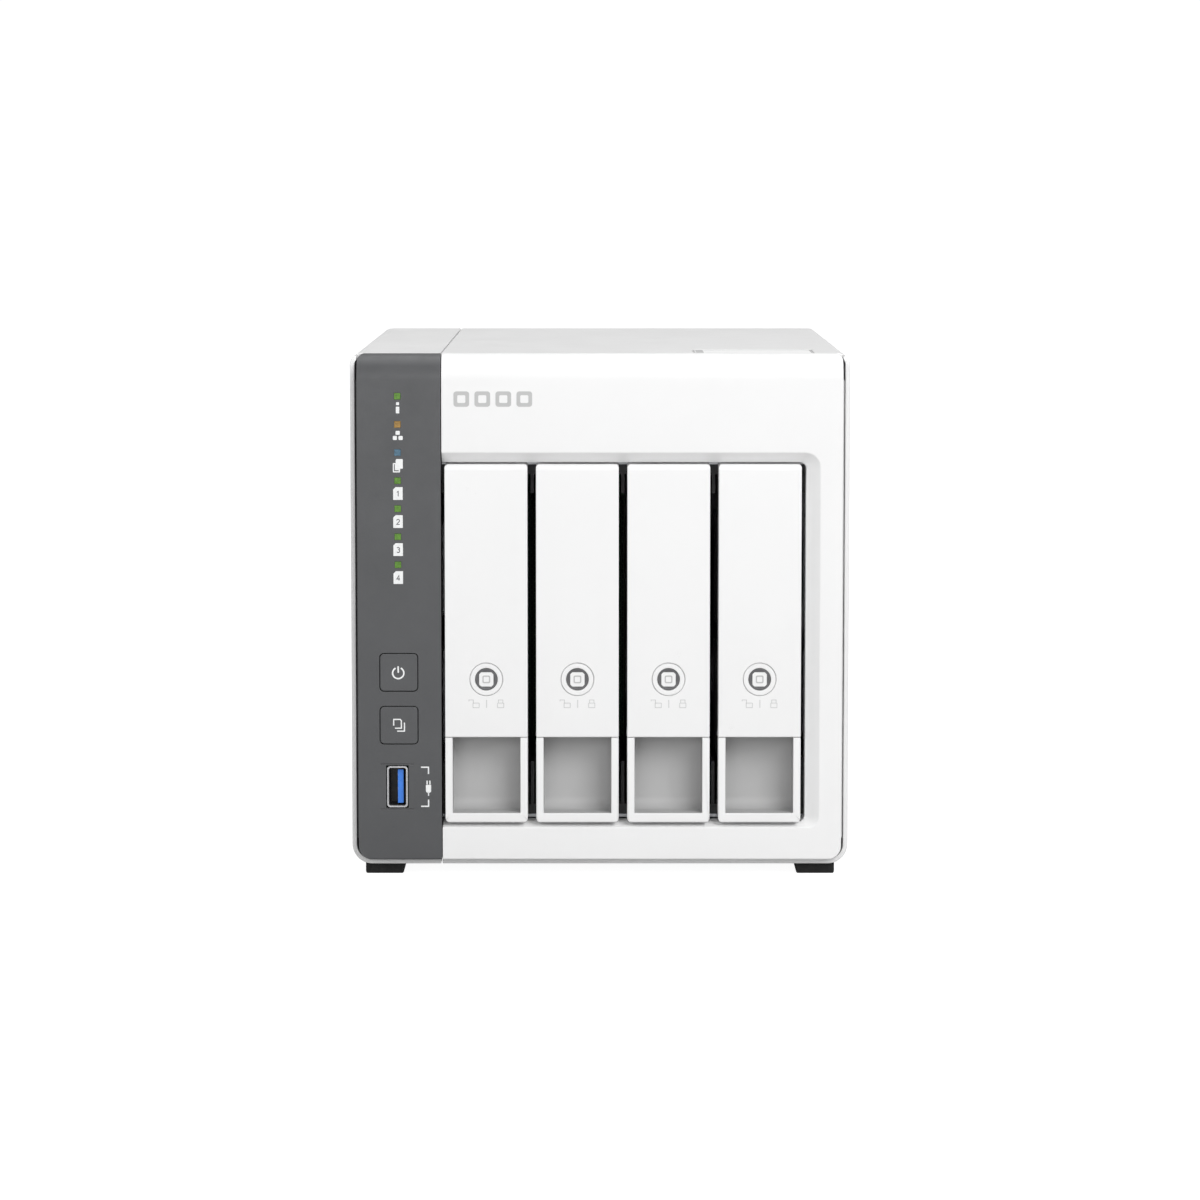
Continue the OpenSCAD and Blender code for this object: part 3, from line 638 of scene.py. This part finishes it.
# ---- label on the top: a blank sheet in a thin frame with a grey end ----
FACE_UP = Matrix.Rotation(math.radians(-90), 4, "X")
label_low, label_high = span("top_label")
label = (label_low + label_high) / 2
label_w, label_d = label_high.x - label_low.x, label_high.y - label_low.y
frame_line = [rounded(label.x, label.y, label_w, label_d, 0.8),
              rounded(label.x, label.y, label_w - 0.8, label_d - 0.8, 0.5)]
grey_end = [rounded(label_low.x + 1.9, label.y, 2.4, label_d - 1.6, 0.3)]
slab("label_frame", [frame_line, grey_end], -label_high.z - 0.05, -label_high.z + 0.02, "print_pale",
     "case", turn=FACE_UP)

# ---- lock details: a turned rim around each core ----
lock_y = span("lock_core_1")[0].y
for i in TRAYS:
    rim = [(2.75, lock_y + 0.35), (2.75, lock_y - 0.12), (2.9, lock_y - 0.2), (3.35, lock_y - 0.2),
           (3.48, lock_y - 0.1), (3.48, lock_y + 0.35)]
    socket = [[rounded(tray_x[i], lock_z, 2.5, 2.5, 0.5), rounded(tray_x[i], lock_z, 1.7, 1.7, 0.3)]]
    cap_y = span(f"lock_cap_{i}")[0].y
    slab(f"lock_socket_{i}", socket, cap_y - 0.02, cap_y + 0.06, "print_pale", f"lock_{i}")
    gather(f"lock_rim_{i}", [lathe(rim, tray_x[i], lock_z)], "lock_grey", f"lock_{i}")

# ---- front USB: a dark lining behind the metal rim, and its contacts ----
tongue_low, tongue_high = span("front_usb_tongue")
lining = [rounded(usb.x, usb.z, 5.5, 12.2, 0.6), rounded(usb.x, usb.z, 5.2, 11.9, 0.5)]
slab("front_usb_lining", [lining], skin_y + 0.5, tongue_high.y - 0.4, "part_black", "case")
slab("front_usb_back", [[rounded(usb.x, usb.z, 5.5, 12.2, 0.6)]], tongue_high.y - 0.8,
     tongue_high.y - 0.3, "part_black", "case")
contacts = [[rounded(tongue_low.y + 3.4, usb.z + (k - 1.5) * 2.4, 5.2, 1.1, 0.2)] for k in range(4)]
FACE_RIGHT = Matrix.Rotation(math.radians(90), 4, "Z")
slab("front_usb_contacts", contacts, -tongue_low.x - 0.03, -tongue_low.x + 0.06, "gold", "case",
     turn=FACE_RIGHT)

# ---- fan ----
fan_low, fan_high = span("fan_frame")
fan = (fan_low + fan_high) / 2
rotor_low = span("fan_rotor")[0]
BLADES = 7
blade_r0, blade_r1 = 19.0, 56.0
hub_y0, hub_y1 = rotor_low.y + 0.3, rear_y - 6.1


def blade(start):
    """One swept, twisted and cambered blade."""
    bm = bmesh.new()
    rows = []
    for j in range(11):
        t = j / 10
        r = blade_r0 + t * (blade_r1 - blade_r0)
        sweep = start + 0.38 * t * t
        half_chord = (8.0 + 6.0 * t) / r
        half_depth = 8.6 - 1.6 * t
        row = []
        for k in range(9):
            u = k / 4 - 1
            a = sweep + u * half_chord
            y = (hub_y0 + hub_y1) / 2 + half_depth * u + 1.6 * (1 - u * u)
            row.append(bm.verts.new((fan.x + r * math.cos(a), y, fan.z + r * math.sin(a))))
        rows.append(row)
    for a, b in zip(rows, rows[1:]):
        for k in range(8):
            bm.faces.new((a[k], a[k + 1], b[k + 1], b[k]))
    bmesh.ops.recalc_face_normals(bm, faces=bm.faces)
    bmesh.ops.solidify(bm, geom=bm.faces[:], thickness=1.3)
    return bm


hub = [(0, hub_y0), (16.5, hub_y0), (18.6, hub_y0 + 0.5), (19.7, hub_y0 + 1.8), (20, hub_y0 + 3.5),
       (20, hub_y1), (0, hub_y1)]
blades = [blade(2 * math.pi * k / BLADES) for k in range(BLADES)]
gather("fan_impeller", [lathe(hub, fan.x, fan.z, 72)] + blades, "part_black", "rotor",
       ("fan_rotor",), 40)
sticker_y = rear_y - 1.6
sticker = [[arc(fan.x, fan.z, 16.5, 0, 352, 44), arc(fan.x, fan.z, 3.2, 0, 345, 23)]]
slab("fan_sticker", sticker, sticker_y - 0.02, sticker_y + 0.06, "alloy", "case")


def ring_path(x, z, r, y, steps):
    return [(px, y, pz) for px, pz in arc(x, z, r, 0, 360 * (steps - 1) / steps, steps - 1)]


wire = 0.7
ring_y, arm_y = rear_y + 1.25, rear_y + 0.72
screw_spread = 74.25
guard = [tube(ring_path(fan.x, fan.z, r, ring_y, 72), wire, True) for r in (8, 17.5, 27, 36.5, 46, 55)]
for k in range(4):
    a = math.radians(45 + 90 * k)
    ends = [(fan.x + r * math.cos(a), arm_y, fan.z + r * math.sin(a)) for r in (7.4, 71.6)]
    guard.append(tube(ends, wire))
    eye = (fan.x + screw_spread * math.cos(a), fan.z + screw_spread * math.sin(a))
    guard.append(tube(ring_path(*eye, 2.75, arm_y, 28), wire, True))
gather("fan_guard_wires", guard, "bright_steel", "case", ("fan_guard",), 60)


# ---- screws ----
def screw_head(x, z, radius, y1, thick, length):
    """A pan head with a cross recess, and its shank."""
    cross = []
    for k in range(4):
        a = math.pi / 2 * k
        for along, side in ((0.62, -0.13), (0.62, 0.13), (0.13, 0.13)):
            px, pz = along * radius, side * radius
            cross.append((x + px * math.cos(a) - pz * math.sin(a), z + px * math.sin(a) + pz * math.cos(a)))
    crown = radius * 0.78
    top = shape_xz([arc(x, z, crown, 0, 350, 35), cross], y1, y1 - 0.55)
    floor_disc = shape_xz([arc(x, z, crown - 0.02, 0, 350, 35)], y1 - 0.5, y1 - thick)
    side = lathe([(crown - 0.02, y1 - 0.001), (radius * 0.93, y1 - 0.16), (radius, y1 - 0.45),
                  (radius, y1 - thick), (radius * 0.45, y1 - thick),
                  (radius * 0.45, y1 - thick - length), (0, y1 - thick - length)], x, z, 36)
    return [top, floor_disc, side]


screws = []
screw_low, screw_high = span("screws")
cover_screw_x = screw_low.x + 2.9
for z in (30, 88, 150):
    screws += screw_head(cover_screw_x, z, 2.9, screw_high.y, 1.15, 3.0)
for k in range(4):
    a = math.radians(45 + 90 * k)
    x, z = fan.x + screw_spread * math.cos(a), fan.z + screw_spread * math.sin(a)
    screws += screw_head(x, z, 3.4, rear_y + 1.9, 0.7, 5.0)
gather("screw_set", screws, "bright_steel", "case", ("screws",), 30)

# ---- rear sockets ----
jack_low, jack_high = span("lan_jacks")
jack_x = (jack_low.x + jack_high.x) / 2
for k, z in enumerate((jack_low.z + 8, jack_high.z - 8), 1):
    mouth = rounded(jack_x - 0.5, z, 8.1, 11.7, 0.2)
    slab(f"lan_lining_{k}", [[mouth, rounded(jack_x - 0.5, z, 7.6, 11.1, 0.2)], ],
         jack_high.y - 14, jack_high.y - 0.3, "part_black", "case")
    pins = []
    for j in range(8):
        pz = z + (j - 3.5) * 1.02
        pins.append(tube([(jack_x - 4.2, jack_high.y - 2.0, pz), (jack_x - 3.4, jack_high.y - 3.0, pz),
                          (jack_x - 1.6, jack_high.y - 12.5, pz)], 0.2, sides=6))
    gather(f"lan_pins_{k}", pins, "gold", "case")
    for side, lamp in ((-1, "amber"), (1, "green")):
        slab(f"lan_lamp_{k}_{lamp}", [[rounded(jack_x + 5.0, z + side * 5.6, 1.6, 2.6, 0.3)]],
             jack_high.y - 0.3, jack_high.y + 0.08, "lens_" + lamp, "case")
port_low, port_high = span("rear_usb")
usb2_x = (port_low.x + port_high.x) / 2
for k, z in enumerate((port_low.z + 6.65, port_high.z - 6.65), 1):
    slab(f"rear_usb_tongue_{k}", [[rounded(usb2_x + 1.05, z, 2.0, 11.0, 0.2)]],
         port_high.y - 15, port_high.y - 1.2, "tongue_blue", "case")
    slab(f"rear_usb_dark_{k}", [[rounded(usb2_x, z, 5.5, 12.2, 0.6)]],
         port_high.y - 15.8, port_high.y - 8, "part_black", "case")
power_in = middle("dc_jack")
pin_y = rear_y - 0.5
gather("dc_pin", [lathe([(0, pin_y), (0.5, pin_y - 0.1), (0.95, pin_y - 0.6), (1.15, pin_y - 1.2),
                         (1.15, pin_y - 9)], power_in.x - 0.05, power_in.z, 24)],
       "bright_steel", "case")
gather("dc_collar", [lathe([(3.05, rear_y + 0.3), (3.2, rear_y + 0.55), (4.6, rear_y + 0.55),
                            (4.8, rear_y + 0.3)], power_in.x - 0.05, power_in.z, 40)],
       "part_black", "case")

# ---- floor, backdrop and light ----
def ground(name, tone, glow):
    """A wide pale plane under the object."""
    mesh = bpy.data.meshes.new(name)
    mesh.from_pydata([(-9, -9, 0), (9, -9, 0), (9, 9, 0), (-9, 9, 0)], [], [(0, 1, 2, 3)])
    obj = bpy.data.objects.new(name, mesh)
    scene.collection.objects.link(obj)
    n = Nodes(name)
    n.link(n.mix(n.noise(300.0), (tone,) * 3, (tone * 0.98,) * 3), n.shader.inputs["Base Color"])
    n.shader.inputs["Roughness"].default_value = 0.9
    n.shader.inputs["Specular IOR Level"].default_value = 0.1
    n.shader.inputs["Emission Color"].default_value = (1.0, 1.0, 1.0, 1.0)
    n.shader.inputs["Emission Strength"].default_value = glow
    mesh.materials.append(n.material)
    return obj


# The camera sees a white paper floor; the light that bounces up comes from a darker one.
paper = ground("floor", 0.30, 0.95)
paper.visible_diffuse = False
paper.visible_glossy = False
paper.visible_shadow = False
bounce = ground("floor_bounce", 0.46, 0.0)
bounce.visible_camera = False
bounce.location.z = -0.0005

world = bpy.data.worlds.new("studio")
scene.world = world
world.use_nodes = True
background = world.node_tree.nodes["Background"]
light_path = world.node_tree.nodes.new("ShaderNodeLightPath")
seen = world.node_tree.nodes.new("ShaderNodeMapRange")
seen.inputs["To Min"].default_value = 0.42
seen.inputs["To Max"].default_value = 1.05
world.node_tree.links.new(light_path.outputs["Is Camera Ray"], seen.inputs["Value"])
world.node_tree.links.new(seen.outputs["Result"], background.inputs["Strength"])
background.inputs["Color"].default_value = (1.0, 1.0, 1.0, 1.0)


def softbox(name, place, aim, size, watts):
    data = bpy.data.lights.new(name, "AREA")
    data.shape = "RECTANGLE"
    data.size, data.size_y = size
    data.energy = watts
    lamp = bpy.data.objects.new(name, data)
    lamp.location = place
    lamp.rotation_euler = (Vector(aim) - Vector(place)).to_track_quat("-Z", "Y").to_euler()
    scene.collection.objects.link(lamp)


softbox("key_light", (0.8, -1.3, 1.05), (0.0, -0.1, 0.1), (0.9, 0.9), 17.0)
softbox("front_light", (-0.3, -2.2, 0.5), (0.0, 0.0, 0.1), (1.6, 0.9), 9.5)
softbox("top_light", (0.0, 0.3, 2.0), (0.0, 0.0, 0.1), (1.8, 1.8), 16.0)
softbox("left_light", (-1.9, -0.5, 0.6), (0.0, 0.0, 0.1), (1.2, 1.0), 5.0)
